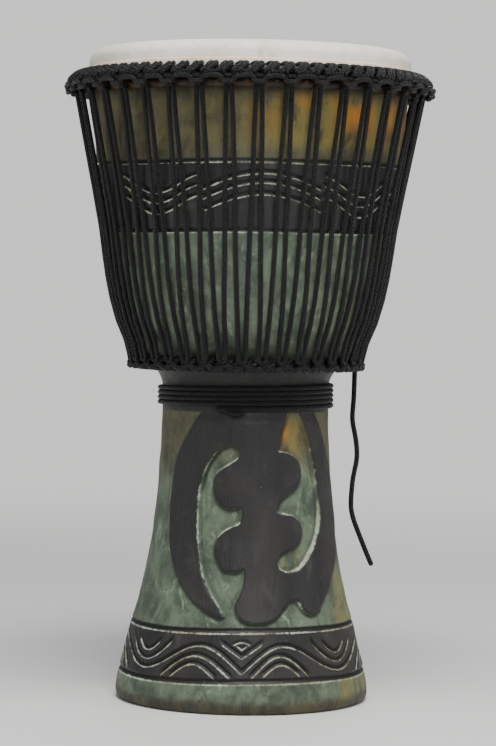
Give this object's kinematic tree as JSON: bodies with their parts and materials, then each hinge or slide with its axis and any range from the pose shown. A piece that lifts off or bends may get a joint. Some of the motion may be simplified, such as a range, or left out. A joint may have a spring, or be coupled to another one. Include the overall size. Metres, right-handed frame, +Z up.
{
  "type": "djembe drum",
  "caption": "Rope-tuned goblet hand drum: carved painted wooden shell with a raised emblem on its foot, laced goatskin head and hanging rope end.",
  "frame": {"origin": "centre of the foot's bottom face, on the drum's axis", "axes": "+Z up along the drum's axis towards the playing surface, the carved emblem faces -Y, the loose rope end hangs on the +X side"},
  "size_m": [0.3506, 0.3506, 0.61],
  "materials": {
    "painted_wood": "carved hardwood with worn green, ochre and black paint",
    "goatskin": "scraped natural goatskin, semi-matt",
    "steel_rod": "welded steel rod, black paint",
    "black_rope": "braided polyester rope, slight sheen"
  },
  "bodies": {
    "drum_shell": {"shell": "painted_wood", "drumhead": "goatskin", "bottom_ring": "steel_rod", "bottom_hitches": "black_rope", "lacing_rope": "black_rope", "neck_wrap": "black_rope"},
    "tuning_hoops": {"crown_ring": "steel_rod", "crown_hitches": "black_rope", "flesh_ring": "steel_rod", "skin_tuck": "goatskin"},
    "loose_rope_end": {"rope_tail": "black_rope"}
  },
  "joints": [
    {"name": "head_tuning", "type": "slide", "parent": "drum_shell", "child": "tuning_hoops", "axis": [0, 0, 1], "range_m": [-0.008, 0.006], "deforming": ["lacing_rope"]},
    {"name": "rope_end_swing", "type": "hinge", "parent": "drum_shell", "child": "loose_rope_end", "pos_m": [0.103, 0, 0.309], "axis": [0, -1, 0], "range_deg": [-5, 75]}
  ]
}
